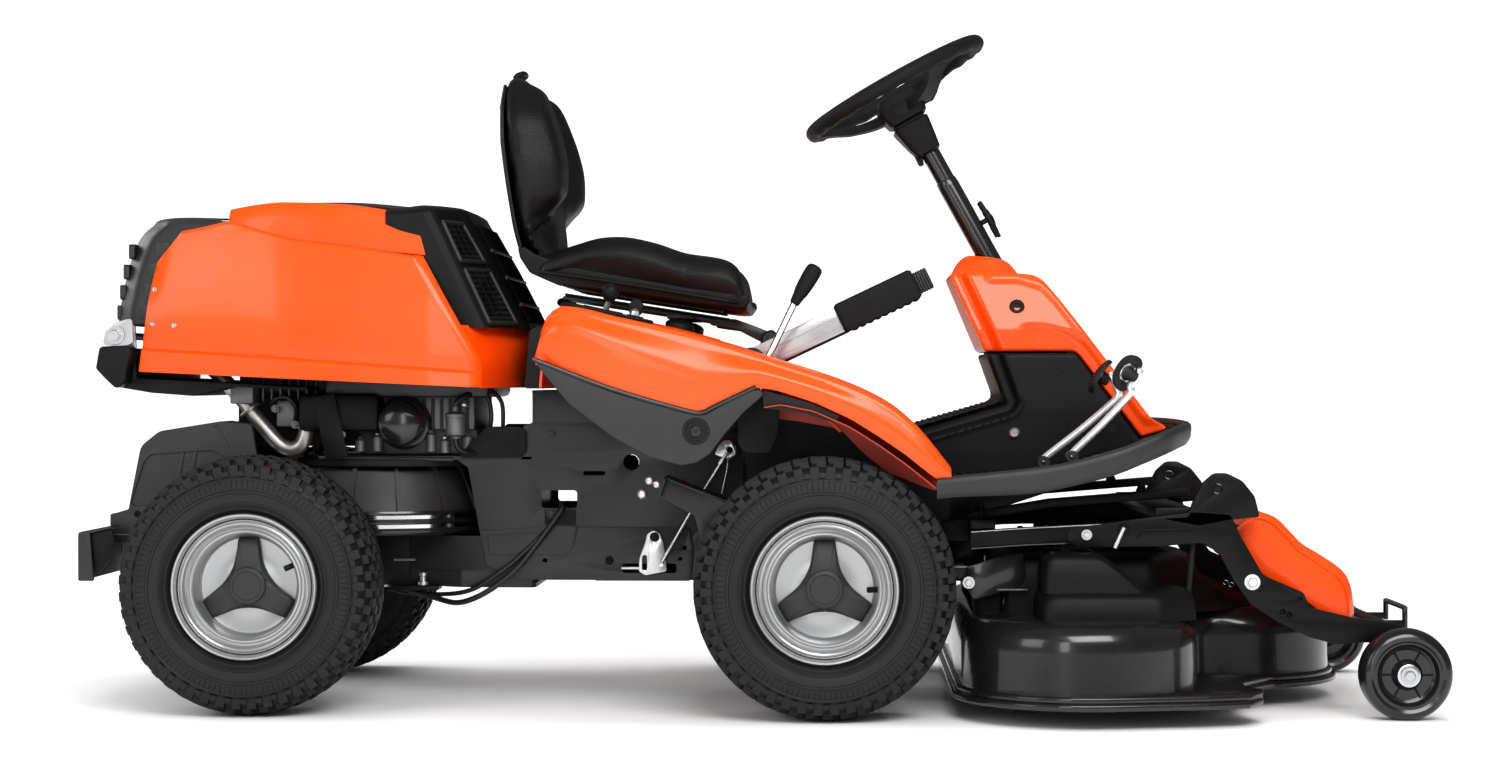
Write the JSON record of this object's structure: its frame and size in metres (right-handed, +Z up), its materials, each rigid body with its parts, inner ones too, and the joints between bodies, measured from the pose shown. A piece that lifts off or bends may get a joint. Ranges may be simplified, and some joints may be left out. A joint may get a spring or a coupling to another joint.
{
  "type": "riding lawn mower",
  "caption": "Ride-on lawn mower with a front cutting deck, a steered rear carriage, an opening engine hood and a sliding seat.",
  "frame": {"origin": "on the ground, in the middle of the footprint", "axes": "+X forward, towards the cutting deck; +Y to the operator's left; +Z up"},
  "size_m": [2.155, 1.002, 1.0966],
  "materials": {
    "orange": "gloss",
    "frame": "satin",
    "black": "fine grained",
    "grey": "fine grained",
    "tyre": "dull",
    "rim": "satin silver",
    "cast": "as cast",
    "zinc": "zinc plated",
    "vinyl": "grained seat vinyl",
    "deck": "gloss"
  },
  "bodies": {
    "chassis": {"main_frame": "frame", "front_transaxle": "cast", "engine_block": "cast", "oil_filter": "black", "muffler": "cast", "hood_hinge_bracket": "zinc", "rear_tray": "black", "fender_body": "orange", "side_panel_right": "grey", "side_panel_left": "grey", "control_panel": "black", "floor_pan": "black", "floor_trim": "grey", "steering_console": "orange", "column_outer": "frame"},
    "front_right_wheel": {"front_right_tyre": "tyre", "front_right_rim": "rim", "front_right_hub_cap": "black"},
    "front_left_wheel": {"front_left_tyre": "tyre", "front_left_rim": "rim", "front_left_hub_cap": "black"},
    "rear_right_wheel": {"rear_right_tyre": "tyre", "rear_right_rim": "rim", "rear_right_hub_cap": "black"},
    "rear_left_wheel": {"rear_left_tyre": "tyre", "rear_left_rim": "rim", "rear_left_hub_cap": "black"},
    "carriage": {"rear_carriage": "frame", "rear_axle": "cast", "carriage_cover": "grey", "rear_bumper": "frame"},
    "hood": {"hood_shell": "orange", "hood_grille": "black", "hood_rear_vent": "black"},
    "seat_base": {"seat_bracket": "frame"},
    "seat": {"seat_shell": "black", "seat_cushion": "vinyl", "seat_backrest": "vinyl"},
    "column": {"column_inner": "black"},
    "wheel": {"steering_wheel": "black"},
    "knob": {"column_knob": "black"},
    "lift_arm": {"lift_lever": "zinc"},
    "lift_release": {"lift_button": "black"},
    "height_arm": {"height_lever": "zinc"},
    "throttle": {"throttle_lever": "black"},
    "key": {"ignition_key": "black"},
    "forward": {"forward_pedal": "black"},
    "reverse": {"reverse_pedal": "black"},
    "brake": {"brake_pedal": "black"},
    "crank": {"brake_crank": "zinc"},
    "pull_rod": {"brake_rod": "zinc"},
    "deck_carrier": {"deck_frame": "frame", "deck_front_cover": "orange"},
    "deck": {"deck_shell": "deck", "deck_belt_cover": "black"},
    "caster_right": {"deck_wheel_right": "black"},
    "caster_left": {"deck_wheel_left": "black"},
    "blade_c": {"blade_centre": "zinc"},
    "blade_r": {"blade_right": "zinc"},
    "blade_l": {"blade_left": "zinc"}
  },
  "joints": [
    {"name": "rear_steer", "type": "hinge", "parent": "chassis", "child": "carriage", "pos_m": [-0.631, 0, 0.305], "axis": [0, 0, 1], "range_deg": [-30, 30]},
    {"name": "front_right_roll", "type": "hinge", "parent": "chassis", "child": "front_right_wheel", "pos_m": [0.115, -0.3575, 0.20222], "axis": [0, 1, 0], "continuous": true},
    {"name": "front_left_roll", "type": "hinge", "parent": "chassis", "child": "front_left_wheel", "pos_m": [0.115, 0.3575, 0.20222], "axis": [0, 1, 0], "continuous": true},
    {"name": "rear_right_roll", "type": "hinge", "parent": "carriage", "child": "rear_right_wheel", "pos_m": [-0.781, -0.3135, 0.20222], "axis": [0, 1, 0], "continuous": true},
    {"name": "rear_left_roll", "type": "hinge", "parent": "carriage", "child": "rear_left_wheel", "pos_m": [-0.781, 0.3135, 0.20222], "axis": [0, 1, 0], "continuous": true},
    {"name": "hood_open", "type": "hinge", "parent": "chassis", "child": "hood", "pos_m": [-1.017, 0, 0.593], "axis": [0, -1, 0], "range_deg": [0, 60]},
    {"name": "seat_tilt", "type": "hinge", "parent": "chassis", "child": "seat_base", "pos_m": [0.026, 0, 0.587], "axis": [0, 1, 0], "range_deg": [0, 45]},
    {"name": "seat_slide", "type": "slide", "parent": "seat_base", "child": "seat", "axis": [0.9883, 0, -0.1522], "range_m": [-0.03, 0.06]},
    {"name": "column_height", "type": "slide", "parent": "chassis", "child": "column", "axis": [-0.4848, 0, 0.8746], "range_m": [-0.03, 0.05]},
    {"name": "steering_wheel_turn", "type": "hinge", "parent": "column", "child": "wheel", "pos_m": [0.231, 0, 1.008], "axis": [-0.4848, 0, 0.8746], "range_deg": [-360, 360]},
    {"name": "column_knob_turn", "type": "hinge", "parent": "chassis", "child": "knob", "pos_m": [0.37745, 0, 0.78505], "axis": [0.8746, 0, 0.4848], "range_deg": [-90, 90]},
    {"name": "deck_lift", "type": "hinge", "parent": "chassis", "child": "deck_carrier", "pos_m": [0.329, 0, 0.22], "axis": [0, -1, 0], "range_deg": [0, 6]},
    {"name": "lift_lever_swing", "type": "hinge", "parent": "chassis", "child": "lift_arm", "pos_m": [-0.001, -0.255, 0.55], "axis": [0, -1, 0], "range_deg": [0, 42]},
    {"name": "lift_button_press", "type": "slide", "parent": "lift_arm", "child": "lift_release", "axis": [-0.9033, 0, -0.4289], "range_m": [0, 0.008]},
    {"name": "deck_height", "type": "slide", "parent": "deck_carrier", "child": "deck", "axis": [0, 0, 1], "range_m": [-0.005, 0.035]},
    {"name": "height_lever_swing", "type": "hinge", "parent": "chassis", "child": "height_arm", "pos_m": [-0.001, -0.33, 0.43], "axis": [0, -1, 0], "range_deg": [-3, 21]},
    {"name": "throttle_swing", "type": "hinge", "parent": "chassis", "child": "throttle", "pos_m": [-0.227, -0.36, 0.605], "axis": [0, 1, 0], "range_deg": [-15, 15]},
    {"name": "key_turn", "type": "hinge", "parent": "chassis", "child": "key", "pos_m": [-0.179, -0.36, 0.623], "axis": [0, 0, 1], "range_deg": [0, 60]},
    {"name": "forward_pedal_press", "type": "hinge", "parent": "chassis", "child": "forward", "pos_m": [0.456, -0.292, 0.394], "axis": [0, 1, 0], "range_deg": [0, 15]},
    {"name": "reverse_pedal_press", "type": "hinge", "parent": "chassis", "child": "reverse", "pos_m": [0.494, -0.362, 0.404], "axis": [0, 1, 0], "range_deg": [0, 15]},
    {"name": "brake_pedal_press", "type": "hinge", "parent": "chassis", "child": "brake", "pos_m": [0.456, 0.3, 0.394], "axis": [0, 1, 0], "range_deg": [0, 15]},
    {"name": "brake_crank_turn", "type": "hinge", "parent": "chassis", "child": "crank", "pos_m": [-0.162, -0.14, 0.267], "axis": [0, -1, 0], "range_deg": [0, 9]},
    {"name": "brake_rod_pull", "type": "slide", "parent": "chassis", "child": "pull_rod", "axis": [0.944, 0, 0.33], "range_m": [0, 0.007]},
    {"name": "caster_right_roll", "type": "hinge", "parent": "deck_carrier", "child": "caster_right", "pos_m": [1.007, -0.34, 0.06992], "axis": [0, 1, 0], "continuous": true},
    {"name": "caster_left_roll", "type": "hinge", "parent": "deck_carrier", "child": "caster_left", "pos_m": [1.007, 0.34, 0.06992], "axis": [0, 1, 0], "continuous": true},
    {"name": "blade_centre_spin", "type": "hinge", "parent": "deck", "child": "blade_c", "pos_m": [0.764, 0, 0.055], "axis": [0, 0, 1], "continuous": true},
    {"name": "blade_right_spin", "type": "hinge", "parent": "deck", "child": "blade_r", "pos_m": [0.509, -0.31, 0.055], "axis": [0, 0, 1], "continuous": true},
    {"name": "blade_left_spin", "type": "hinge", "parent": "deck", "child": "blade_l", "pos_m": [0.509, 0.31, 0.055], "axis": [0, 0, 1], "continuous": true}
  ],
  "couplings": [
    {"joint": "steering_wheel_turn", "follows": "rear_steer", "ratio": 12},
    {"joint": "lift_lever_swing", "follows": "deck_lift", "ratio": 7},
    {"joint": "height_lever_swing", "follows": "deck_height", "rad_per_m": 10},
    {"joint": "blade_right_spin", "follows": "blade_centre_spin", "ratio": 1},
    {"joint": "blade_left_spin", "follows": "blade_centre_spin", "ratio": 1},
    {"joint": "brake_crank_turn", "follows": "brake_pedal_press", "ratio": 0.6},
    {"joint": "brake_rod_pull", "follows": "brake_pedal_press", "m_per_rad": 0.0252}
  ]
}
